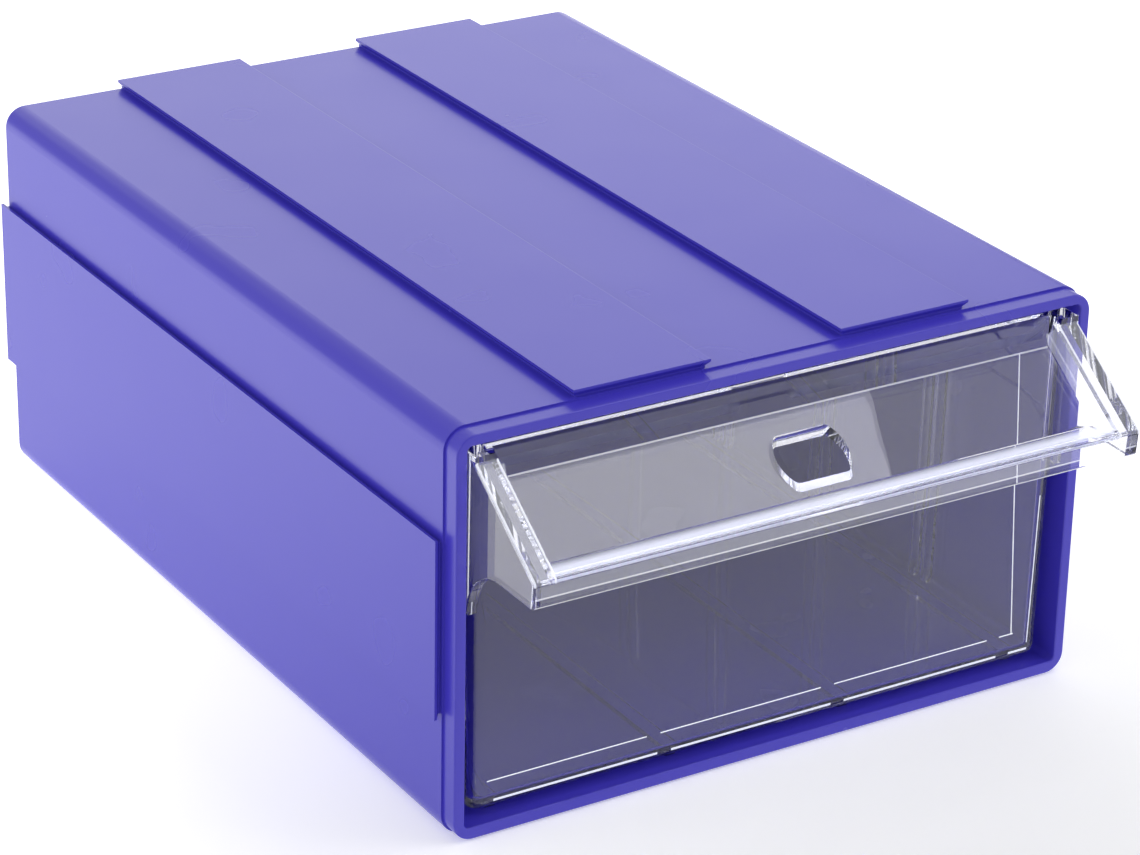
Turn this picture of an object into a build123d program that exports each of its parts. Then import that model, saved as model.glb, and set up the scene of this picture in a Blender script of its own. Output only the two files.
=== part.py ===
from build123d import *
import os
from math import cos, radians, sin, tan

# Stackable drawer box: a rounded casing with dovetail rails, and a clear drawer with a label hood.
# Millimetres. The front faces -Y, the left side faces -X and +Z is up. The origin is the middle of
# the casing's underside. A reach is a distance in front of the casing's rim.

os.makedirs("parts", exist_ok=True)

# ---------------------------------------------------------------- casing
case_width = 160.0
case_height = 93.5
case_depth = 218.4
case_corner_radius = 5.0
rear_rounding = 1.0

side_wall = 3.0
floor_wall = 3.2
roof_wall = 2.8
back_wall = 2.8
cavity_narrowing = 0.75  # of the sides and the roof towards the back; the floor stays level
cavity_radius = 1.2

collar_depth = 4.7  # front band where the outside steps in
collar_recess = 0.45
rim_rounding = 0.35

# ---------------------------------------------------------------- interlocking rails and grooves
roof_rail_width = 33.3
roof_rail_height = 2.0
roof_rail_pitch = 66.0
side_rail_width = 41.0
side_rail_height = 1.7
side_rail_middle = 48.5  # height of its centre line
rail_edge = 0.6  # square edge above the undercut
rail_undercut = 0.9
rail_root = 0.35  # straight neck below the undercut
rail_play = 0.2  # room all round a rail in its groove

# ---------------------------------------------------------------- drawer tub
tub_bottom = 4.6
tub_top = 88.7
tub_front = 2.6  # behind the casing's rim, at the tub's bottom
tub_rear_gap = 1.7  # to the casing's back wall, at the tub's bottom
tub_bottom_width = 148.4
tub_draft = 0.67  # degrees
tub_wall = 2.0
tub_corner_radius = 3.0
tub_inner_radius = 1.6
tub_floor_fillet = 1.2
tub_heel_radius = 2.4  # outside, around the bottom

runner_pitch = 45.1
runner_count = 4
runner_width = 3.6
runner_height = 1.2
runner_end_gap = 3.0

guide_count = 4  # pairs of ribs that hold cross dividers
guide_rib_width = 2.0
guide_slot = 2.8
guide_reach = 1.8
guide_top_gap = 3.0

# ---------------------------------------------------------------- label hood
hood_half_width = 75.8
hood_angle = 35.4  # degrees below horizontal
hood_plane_height = 87.6  # of the frame's sloping plane, above the rim
hood_shoulder = 1.1  # reach of the frame's upright top edge
hood_reach = 24.2
hood_shell = 2.1
cheek_wall = 2.4
edge_rounding = 0.4
grip_bottom = 64.4
grip_bottom_reach = 23.7
grip_rounding = 0.7
cheek_arch_radius = 12.4

recess_depth = 3.7  # from the frame's plane down to the label panel
label_width = 136.2
label_head = 3.3  # panel's upper edge, down the slope from the rim
label_foot = 24.05  # panel's lower edge, down the slope from the rim
recess_side_lean = 31.4  # degrees between each wall of the recess and the panel's normal
recess_head_lean = 59.5
recess_foot_lean = 47.7
mouth_rise = 2.0  # the recess is cut open this far above the frame's plane

finger_hole_radius = 8.8
finger_hole_half_height = 5.9  # flats, measured along the slope
finger_hole_reach = 9.8
finger_hole_corner = 1.8

cut_margin = 1.0  # how far the tool of a cut runs past what it cuts

# ---------------------------------------------------------------- worked-out values
rim_y = -case_depth / 2
rear_y = case_depth / 2
collar_y = rim_y + collar_depth
rail_length = rear_y - collar_y
slope = tan(radians(hood_angle))
slope_cos = cos(radians(hood_angle))
slope_sin = sin(radians(hood_angle))
tub_lean = tan(radians(tub_draft))
tub_floor = tub_bottom + tub_wall
tub_front_y = rim_y + tub_front
tub_rear_y = rear_y - back_wall - tub_rear_gap
tub_length = tub_rear_y - tub_front_y
tub_middle_y = (tub_rear_y + tub_front_y) / 2


def fore(reach):
    """World y of a point with this reach."""
    return rim_y - reach


def frame_z(reach):
    """Height of the hood frame's sloping plane."""
    return hood_plane_height - slope * reach


def front_face_y(z):
    """World y of the tub's leaning front face at height z."""
    return tub_front_y - (z - tub_bottom) * tub_lean


def tub_inside_x(z):
    """Half width inside the tub at height z."""
    return tub_bottom_width / 2 + (z - tub_bottom) * tub_lean - tub_wall


def rail_outline(width, height):
    """Section of a dovetail rail: a narrow neck through local y = 0, a square edge at y = height."""
    half = width / 2
    neck = half - rail_undercut
    with BuildSketch() as section:
        with BuildLine():
            Polyline(
                (-neck, -rear_rounding),
                (-neck, rail_root),
                (-half, height - rail_edge),
                (-half, height),
                (half, height),
                (half, height - rail_edge),
                (neck, rail_root),
                (neck, -rear_rounding),
                close=True,
            )
        make_face()
    return section.sketch


def rail_end_outline(height):
    """What the undercut front end lacks, in (backwards, outwards) coordinates."""
    with BuildSketch() as section:
        with BuildLine():
            Polyline(
                (-cut_margin, 0),
                (rail_undercut, 0),
                (rail_undercut, rail_root),
                (0, height - rail_edge),
                (-cut_margin, height - rail_edge),
                close=True,
            )
        make_face()
    return section.sketch


def rail_root_plane(x, y, z, across):
    """Local x runs across the rail and local z towards the front."""
    return Plane(origin=(x, y, z), x_dir=across, z_dir=(0, -1, 0))


roof_rail_xs = (-roof_rail_pitch / 2, roof_rail_pitch / 2)
groove_y = collar_y - rail_play
rails = [
    (rail_root_plane(x, collar_y, case_height, (1, 0, 0)), roof_rail_width, roof_rail_height)
    for x in roof_rail_xs
]
rails.append(
    (
        rail_root_plane(-case_width / 2, collar_y, side_rail_middle, (0, 0, 1)),
        side_rail_width,
        side_rail_height,
    )
)
grooves = [
    (rail_root_plane(x, groove_y, 0, (1, 0, 0)), roof_rail_width, roof_rail_height)
    for x in roof_rail_xs
]
grooves.append(
    (
        rail_root_plane(case_width / 2, groove_y, side_rail_middle, (0, 0, 1)),
        side_rail_width,
        side_rail_height,
    )
)

# ================================================================ casing
cavity_width = case_width - 2 * side_wall
cavity_height = case_height - floor_wall - roof_wall
cavity_end_height = cavity_height - cavity_narrowing

with BuildPart() as case_core:
    with BuildSketch(Plane.XZ.offset(-rim_y)):
        with Locations((0, floor_wall + cavity_height / 2)):
            Rectangle(cavity_width, cavity_height)
    with BuildSketch(Plane.XZ.offset(back_wall - rear_y)):
        with Locations((0, floor_wall + cavity_end_height / 2)):
            Rectangle(cavity_width - 2 * cavity_narrowing, cavity_end_height)
    loft(ruled=True)
    fillet(case_core.edges() - case_core.faces().sort_by(Axis.Y)[0].edges(), radius=cavity_radius)

with BuildPart() as casing:
    # Outer block behind the collar.
    with BuildSketch(Plane.XZ.offset(-rear_y)):
        with Locations((0, case_height / 2)):
            RectangleRounded(case_width, case_height, case_corner_radius)
    extrude(amount=rail_length)
    fillet(casing.faces().sort_by(Axis.Y)[-1].edges(), radius=rear_rounding)

    # Front collar, a little smaller all round.
    with BuildSketch(Plane.XZ.offset(-collar_y)):
        with Locations((0, case_height / 2)):
            RectangleRounded(
                case_width - 2 * collar_recess,
                case_height - 2 * collar_recess,
                case_corner_radius - collar_recess,
            )
    extrude(amount=collar_depth)

    # Cavity for the drawer, and the rounded rim around it.
    add(case_core.part, mode=Mode.SUBTRACT)
    fillet(casing.faces().sort_by(Axis.Y)[0].edges(), radius=rim_rounding)

    # Dovetail rails on the roof and the left side, undercut on their sides and front ends.
    for root, width, height in rails:
        with BuildSketch(root):
            add(rail_outline(width, height))
        extrude(amount=-rail_length)
        with BuildSketch(Plane(origin=root.origin, x_dir=-root.z_dir, z_dir=root.x_dir)):
            add(rail_end_outline(height))
        extrude(amount=width / 2, both=True, mode=Mode.SUBTRACT)

    # Matching grooves in the underside and the right side, open only at the rear.
    for mouth, width, height in grooves:
        with BuildSketch(mouth):
            add(rail_outline(width + 2 * rail_play, height + rail_play))
        extrude(amount=-(rail_length + rail_play), mode=Mode.SUBTRACT)

casing.part.label = "casing"
export_step(casing.part, "parts/casing.step")

# ================================================================ drawer
with BuildPart() as tub_core:
    with BuildSketch(Plane.XY.offset(tub_floor)):
        with Locations((0, tub_middle_y)):
            RectangleRounded(
                2 * tub_inside_x(tub_floor),
                tub_length + 2 * (tub_floor - tub_bottom) * tub_lean - 2 * tub_wall,
                tub_inner_radius,
            )
    extrude(amount=tub_top + cut_margin - tub_floor, taper=-tub_draft)
    fillet(tub_core.faces().sort_by(Axis.Z)[0].edges(), radius=tub_floor_fillet)

# Hood: a block with the cheeks' outline, sunk to the label panel and hollowed from below.
arch_foot_z = grip_bottom - cheek_arch_radius
arch_middle_y = front_face_y(arch_foot_z) - cheek_arch_radius
hood_root_y = front_face_y(tub_top) + tub_corner_radius
under_rise = hood_shell / slope_cos
frame_plane = Plane(
    origin=(0, rim_y, hood_plane_height), x_dir=(1, 0, 0), z_dir=(0, -slope_sin, slope_cos)
)
section_plane = Plane(origin=(0, 0, 0), x_dir=(0, 1, 0), z_dir=(1, 0, 0))


def recess_block(shell, head_growth):
    """The label recess, deepened and widened by a shell, and longer by a growth at its head."""
    depth = recess_depth + shell
    rise = mouth_rise + depth
    foot = label_foot + shell * (1 - sin(radians(recess_foot_lean))) / cos(radians(recess_foot_lean))
    side = label_width / 2
    side += shell * (1 - sin(radians(recess_side_lean))) / cos(radians(recess_side_lean))
    head = label_head - head_growth
    wide_foot = foot + rise * tan(radians(recess_foot_lean))
    wide_head = head - rise * tan(radians(recess_head_lean))
    wide_side = side + rise * tan(radians(recess_side_lean))
    with BuildPart() as block:
        with BuildSketch(frame_plane.offset(-depth)):
            with Locations((0, -(head + foot) / 2)):
                Rectangle(2 * side, foot - head)
        with BuildSketch(frame_plane.offset(mouth_rise)):
            with Locations((0, -(wide_head + wide_foot) / 2)):
                Rectangle(2 * wide_side, wide_foot - wide_head)
        loft(ruled=True)
    return block.part


with BuildPart() as hood_hollow:
    with BuildSketch(section_plane):
        with BuildLine():
            Polyline(
                (fore(grip_bottom_reach - hood_shell), arch_foot_z),
                (fore(grip_bottom_reach - hood_shell), grip_bottom),
                (fore(hood_reach - hood_shell), frame_z(hood_reach - hood_shell) - under_rise),
                (hood_root_y, frame_z(rim_y - hood_root_y) - under_rise),
                (hood_root_y, arch_foot_z),
                close=True,
            )
        make_face()
    extrude(amount=hood_half_width - cheek_wall, both=True)
    add(recess_block(hood_shell, 2 * hood_shell), mode=Mode.SUBTRACT)

with BuildPart() as hood:
    with BuildSketch(section_plane) as cheek:
        with BuildLine():
            arch = CenterArc((arch_middle_y, arch_foot_z), cheek_arch_radius, 0, 90)
            Polyline(
                arch @ 1,
                (fore(grip_bottom_reach), grip_bottom),
                (fore(hood_reach), frame_z(hood_reach)),
                (fore(hood_shoulder), frame_z(hood_shoulder)),
                (fore(hood_shoulder), tub_top),
                (hood_root_y, tub_top),
                (hood_root_y, arch_foot_z),
                arch @ 0,
            )
        make_face()
        fillet(cheek.vertices().sort_by(Axis.X)[:2], radius=grip_rounding)
    extrude(amount=hood_half_width, both=True)
    fillet(hood.faces().filter_by(Axis.X).edges(), radius=edge_rounding)
    add(hood_hollow.part, mode=Mode.SUBTRACT)

with BuildPart() as drawer:
    # Tapered tub, joined by the hood and then hollowed.
    with BuildSketch(Plane.XY.offset(tub_bottom)):
        with Locations((0, tub_middle_y)):
            RectangleRounded(tub_bottom_width, tub_length, tub_corner_radius)
    extrude(amount=tub_top - tub_bottom, taper=-tub_draft)
    fillet(drawer.faces().sort_by(Axis.Z)[0].edges(), radius=tub_heel_radius)
    add(hood.part)
    add(tub_core.part, mode=Mode.SUBTRACT)
    add(recess_block(0, 0), mode=Mode.SUBTRACT)

    # Finger hole: round with two flats, cut straight down through the label panel.
    with BuildSketch(Plane.XY.offset(grip_bottom)) as finger_hole:
        with Locations((0, fore(finger_hole_reach))):
            Ellipse(finger_hole_radius, finger_hole_radius * slope_cos)
            Rectangle(
                2 * (finger_hole_radius + cut_margin),
                2 * finger_hole_half_height * slope_cos,
                mode=Mode.INTERSECT,
            )
        fillet(finger_hole.vertices(), radius=finger_hole_corner)
    extrude(amount=case_height - grip_bottom, mode=Mode.SUBTRACT)

    # Guides for cross dividers: pairs of upright ribs that split the tub into equal bays.
    for index in range(guide_count):
        guide_y = tub_front_y + tub_length * (index + 1) / (guide_count + 1)
        for rib_y in (guide_y - guide_slot / 2 - guide_rib_width, guide_y + guide_slot / 2):
            with BuildSketch(Plane.XZ.offset(-rib_y)):
                for side in (-1, 1):
                    with BuildLine():
                        Polyline(
                            (side * (tub_inside_x(tub_floor) - guide_reach), tub_floor - tub_wall / 2),
                            (side * (tub_inside_x(tub_top) - guide_reach), tub_top - guide_top_gap),
                            (side * (tub_inside_x(tub_top) + tub_wall / 2), tub_top - guide_top_gap),
                            (side * (tub_inside_x(tub_floor) + tub_wall / 2), tub_floor - tub_wall / 2),
                            close=True,
                        )
                    make_face()
            extrude(amount=-guide_rib_width)

    # Runner ribs under the floor.
    with BuildSketch(Plane.XY.offset(tub_bottom - runner_height)):
        with Locations((0, tub_middle_y)):
            with GridLocations(runner_pitch, 0, runner_count, 1):
                RectangleRounded(runner_width, tub_length - 2 * runner_end_gap, runner_width / 3)
    extrude(amount=runner_height + tub_wall / 2)

drawer.part.label = "drawer"
export_step(drawer.part, "parts/drawer.step")
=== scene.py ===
import math
import bpy
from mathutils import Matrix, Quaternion, Vector


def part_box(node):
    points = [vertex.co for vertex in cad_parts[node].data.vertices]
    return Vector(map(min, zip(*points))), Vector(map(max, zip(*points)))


# Looks for the stackable drawer box, in metres. The front faces -Y and the left side faces -X.
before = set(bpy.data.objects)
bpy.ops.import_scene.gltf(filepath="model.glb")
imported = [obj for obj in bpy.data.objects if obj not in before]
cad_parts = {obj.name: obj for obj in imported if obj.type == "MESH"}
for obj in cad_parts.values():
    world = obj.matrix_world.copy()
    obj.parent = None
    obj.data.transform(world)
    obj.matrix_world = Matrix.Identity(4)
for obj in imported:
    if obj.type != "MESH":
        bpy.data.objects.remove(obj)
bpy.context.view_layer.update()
scene = bpy.context.scene


# ---------------------------------------------------------------- materials
class Shade:
    """A node socket that works out sums, products and comparisons in new math nodes."""

    def __init__(self, look, socket):
        self.look = look
        self.socket = socket

    def _with(self, operation, other=0.0):
        node = self.look.tree.nodes.new("ShaderNodeMath")
        node.operation = operation
        self.look.feed(node.inputs[0], self)
        self.look.feed(node.inputs[1], other)
        return Shade(self.look, node.outputs[0])

    def __add__(self, other):
        return self._with("ADD", other)

    def __sub__(self, other):
        return self._with("SUBTRACT", other)

    def __rsub__(self, other):
        return self * -1.0 + other

    def __mul__(self, other):
        return self._with("MULTIPLY", other)

    __radd__ = __add__
    __rmul__ = __mul__

    def __gt__(self, other):
        return self._with("GREATER_THAN", other)

    def __lt__(self, other):
        return self._with("LESS_THAN", other)

    def __mod__(self, other):
        return self._with("FLOORED_MODULO", other)

    def __abs__(self):
        return self._with("ABSOLUTE")


class Look:
    """A Principled material; keyword values go on its sockets."""

    def __init__(self, name, **sockets):
        self.material = bpy.data.materials.new(name)
        self.material.use_nodes = True
        self.tree = self.material.node_tree
        self.shader = self.tree.nodes["Principled BSDF"]
        for key, value in sockets.items():
            self.set(key, value)

    def feed(self, socket, value):
        if isinstance(value, Shade):
            self.tree.links.new(value.socket, socket)
        else:
            socket.default_value = value

    def set(self, key, value):
        self.feed(self.shader.inputs[key.replace("_", " ")], value)

    def node(self, kind, output=0, settings=(), **inputs):
        node = self.tree.nodes.new(kind)
        for key, value in settings:
            setattr(node, key, value)
        for key, value in inputs.items():
            self.feed(node.inputs[key.replace("_", " ")], value)
        return Shade(self, node.outputs[output])

    def place(self):
        return self.node("ShaderNodeTexCoord", output="Object")

    def axes(self):
        place = self.place()
        return [self.node("ShaderNodeSeparateXYZ", output=axis, Vector=place) for axis in "XYZ"]

    def fade(self, value, start, end, low=0.0, high=1.0):
        """Goes smoothly from low to high as the value goes from start to end."""
        return self.node("ShaderNodeMapRange", settings=[("interpolation_type", "SMOOTHSTEP")],
                         Value=value, From_Min=start, From_Max=end, To_Min=low, To_Max=high)

    def cover(self, mask, **sockets):
        """Lays a second Principled finish over the first where the mask is one."""
        finish = self.node("ShaderNodeBsdfPrincipled", **sockets)
        mix = self.tree.nodes.new("ShaderNodeMixShader")
        self.feed(mix.inputs[0], mask)
        self.tree.links.new(self.shader.outputs[0], mix.inputs[1])
        self.tree.links.new(finish.socket, mix.inputs[2])
        self.tree.links.new(mix.outputs[0], self.tree.nodes["Material Output"].inputs["Surface"])

    def noise(self, scale, detail=2.0):
        return self.node("ShaderNodeTexNoise", Vector=self.place(), Scale=scale, Detail=detail)

    def bump(self, height, strength, distance):
        self.set("Normal", self.node("ShaderNodeBump", Height=height, Strength=strength,
                                     Distance=distance))


def near(value, middle, half):
    """One where the value is within half of the middle, else zero."""
    return abs(value - middle) < half


def within(value, low, high):
    """One where the value is between low and high, else zero."""
    return (value > low) * (value < high)


# ---------------------------------------------------------------- casing: satin blue plastic
casing_low, casing_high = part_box("casing")
rail_top = casing_high[2] - 0.0001
rail_edge_middle = 0.01665  # x halfway between the right edges of the two roof rails
rail_edge_spacing = 0.0331  # from there to each of the edges
rail_edge_half = 0.00022

blue = Look("casing_plastic", Base_Color=(0.055, 0.042, 0.5, 1.0), IOR=1.5)
blue.set("Roughness", blue.noise(40.0) * 0.05 + 0.24)
blue.bump(blue.noise(25.0), 1.0, 0.00008)

# Painted highlight: a lighter strip along the right edge of each roof rail, where it catches a
# little light.
case_x, _, case_z = blue.axes()
rail_edge_highlight = near(abs(case_x - rail_edge_middle), rail_edge_spacing, rail_edge_half) * (
    case_z > rail_top)
blue.cover(rail_edge_highlight * 0.07, Base_Color=(0.5, 0.5, 0.9, 1.0), Roughness=0.3)

# ---------------------------------------------------------------- drawer: clear plastic
clear = Look("clear_plastic", Base_Color=(0.97, 0.97, 1.0, 1.0), IOR=1.59, Roughness=0.0,
             Transmission_Weight=1.0)
clear.bump(clear.noise(35.0, detail=1.0), 1.0, 0.0001)
x, y, z = clear.axes()

# Painted highlights: thin bright lines on the tub's front, where its inner edges catch the light.
rib_pitch = 0.0451  # of the runner ribs under the tub
rib_half = 0.00175
upright_half = 0.00014  # half the width of an upright line


def level_line(height, half, left, right, rib_x):
    """A level painted-highlight line broken over the runner ribs, one of which shows at rib_x."""
    start = rib_x - rib_pitch / 2
    between_ribs = abs((x - start) % rib_pitch - rib_pitch / 2) > rib_half
    return near(z, height, half) * near(x, (left + right) / 2, (right - left) / 2) * between_ribs


def upright_line(foot_x, lean, low, high):
    """A painted-highlight line from height low to high, at foot_x where z is zero and leaning by
    lean per metre.
    """
    return near(x - z * lean, foot_x, upright_half) * within(z, low, high)


lower_line = level_line(height=0.0067, half=0.0003, left=-0.0686, right=0.0709, rib_x=0.0189)
upper_line = level_line(height=0.01155, half=0.00015, left=-0.0703, right=0.0667, rib_x=0.016)
right_line = upright_line(foot_x=0.06692, lean=-0.0635, low=0.0115, high=0.084)
corner_line = upright_line(foot_x=0.0707, lean=0.0126, low=0.0083, high=0.045)
left_line = upright_line(foot_x=-0.07243, lean=-0.0425, low=0.0115, high=0.055)
on_front = within(y, low=-0.1078, high=-0.1062)
tub_highlights = on_front * (lower_line + upper_line + right_line + corner_line + left_line * 0.6)

# Places on the label hood: down runs along its slope from the casing's rim, and sunk is the depth
# below the sloping plane of its frame.
rim_y = casing_low[1]
hood_plane_z = 0.0876
hood_angle = math.radians(35.4)
slope_end = 0.0284
label_half = 0.068
wall_foot = 0.0682  # x where the recess's side walls meet the label panel
recess_half = 0.0706
recess_foot = 0.0239
panel_depth = 0.003
border_inner = 0.0707
border_outer = 0.0755
edge_line_half = 0.00025

reach = rim_y - y
drop = hood_plane_z - z
down = reach * math.cos(hood_angle) + drop * math.sin(hood_angle)
sunk = drop * math.cos(hood_angle) - reach * math.sin(hood_angle)
clear_of_rim = down > 0.001

# Painted highlights on the walls of the label recess and a line across its head.
in_recess = within(sunk, low=-0.0003, high=0.004) * (abs(x) < recess_half)
foot_wall_highlight = in_recess * clear.fade(down, start=0.0238, end=0.0262) * (down < slope_end)
side_wall_highlight = in_recess * (abs(x) > wall_foot) * clear_of_rim * (down < recess_foot)
head_highlight = in_recess * (sunk > panel_depth) * (abs(x) < label_half)
head_highlight = head_highlight * near(down, middle=0.0034, half=0.0002)

# Painted highlights: the flat border at each side of the recess, with a bright line along both its
# edges.
border_highlight = (abs(sunk) < 0.0005) * (abs(x) > recess_half) * clear_of_rim
border_highlight_lines = (abs(sunk) < 0.0007) * clear_of_rim * (
    near(abs(x), border_inner, edge_line_half) + near(abs(x), border_outer, edge_line_half))

# Painted highlights on the grip lip at the hood's front: two lines and a band.
lip_back = 0.0228  # reach of the lip's back edge
lip_half = 0.0753
lip_step = 0.0667  # z where the band along the lip begins
lip = (reach > lip_back) * (abs(x) < lip_half)
lip_highlight_lines = lip * (near(z, lip_step, half=0.0002) + near(z, middle=0.0646, half=0.0003))
lip_highlight_band = lip * within(z, low=lip_step, high=0.0695)

# Painted highlights: the masks above lay a white, faintly glowing finish over the clear plastic.
painted_highlights = (0.8 * tub_highlights + 0.6 * foot_wall_highlight + 0.25 * side_wall_highlight + 0.15 * border_highlight
              + 0.5 * border_highlight_lines + 0.4 * head_highlight + 0.45 * lip_highlight_lines + 0.12 * lip_highlight_band)
clear.cover(painted_highlights, Base_Color=(0.9, 0.92, 1.0, 1.0), Roughness=0.3,
            Emission_Color=(0.85, 0.88, 1.0, 1.0), Emission_Strength=0.4)


def dress(node, look):
    """Gives a CAD node its material and smooth shading across its rounded edges."""
    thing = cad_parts[node]
    thing.data.materials.clear()
    thing.data.materials.append(look.material)
    thing.data.shade_smooth()
    thing.data.set_sharp_from_angle(angle=math.radians(30))


dress("casing", blue)
dress("drawer", clear)

# ---------------------------------------------------------------- camera, floor and light
camera = bpy.data.objects.new("camera", bpy.data.cameras.new("camera"))
scene.collection.objects.link(camera)
scene.camera = camera
camera.data.sensor_width = 36.0
camera.data.lens = 124.88
azimuth = math.radians(-31.841)
elevation = math.radians(24.437)
roll = math.radians(1.176)
back = Vector((math.sin(azimuth) * math.cos(elevation), -math.cos(azimuth) * math.cos(elevation),
               math.sin(elevation)))
camera.location = (-0.43645, -0.72627, 0.41996)
camera.rotation_mode = "QUATERNION"
camera.rotation_quaternion = (-back).to_track_quat("-Z", "Y") @ Quaternion((0, 0, 1), roll)
camera.data.clip_start = 0.05

# White paper that glows faintly, more so behind the object, as a lit table does.
paper = Look("floor_paper", Base_Color=(0.88, 0.88, 0.88, 1.0), Roughness=0.8,
             Specular_IOR_Level=0.2, Emission_Strength=1.0)
_, paper_y, _ = paper.axes()
paper.set("Emission_Color", paper.fade(paper_y, start=-0.25, end=0.12, low=0.1, high=0.78))
bpy.ops.mesh.primitive_plane_add(size=14.0, location=(0, 0, 0))
floor = bpy.context.object
floor.name = "floor"
floor.data.materials.append(paper.material)


def softbox(name, place, target, width, height, radiance, tint=(1.0, 1.0, 1.0)):
    """A rectangular light of an even radiance and tint that faces its target."""
    light = bpy.data.lights.new(name, "AREA")
    light.color = tint
    light.shape = "RECTANGLE"
    light.size = width
    light.size_y = height
    light.energy = radiance * math.pi * width * height
    thing = bpy.data.objects.new(name, light)
    scene.collection.objects.link(thing)
    thing.location = place
    thing.rotation_mode = "QUATERNION"
    thing.rotation_quaternion = (Vector(target) - Vector(place)).to_track_quat("-Z", "Y")


softbox("overhead", place=(0.455, -0.3, 1.1), target=(0.455, -0.3, 0.0), width=0.48, height=0.9,
        radiance=2.0, tint=(0.9, 0.9, 1.0))
softbox("left", place=(-1.5, 0.3, 0.8), target=(0.0, 0.0, 0.1), width=1.0, height=1.0, radiance=1.5)
softbox("rear", place=(0.9, 3.0, 0.9), target=(0.3, 0.0, 0.4), width=3.2, height=1.8, radiance=1.0)
softbox("front", place=(1.9, -1.1, 0.7), target=(0.0, -0.1, 0.05), width=1.1, height=1.1,
        radiance=2.4)

world = bpy.data.worlds.new("studio")
scene.world = world
world.use_nodes = True
world.node_tree.nodes["Background"].inputs["Color"].default_value = (1.0, 1.0, 1.0, 1.0)
world.node_tree.nodes["Background"].inputs["Strength"].default_value = 0.62
scene.view_settings.view_transform = "Standard"
bounces = 64  # light passes many times through the drawer's walls before it leaves
scene.cycles.max_bounces = bounces
scene.cycles.transmission_bounces = bounces
scene.cycles.glossy_bounces = bounces
scene.cycles.blur_glossy = 0.0
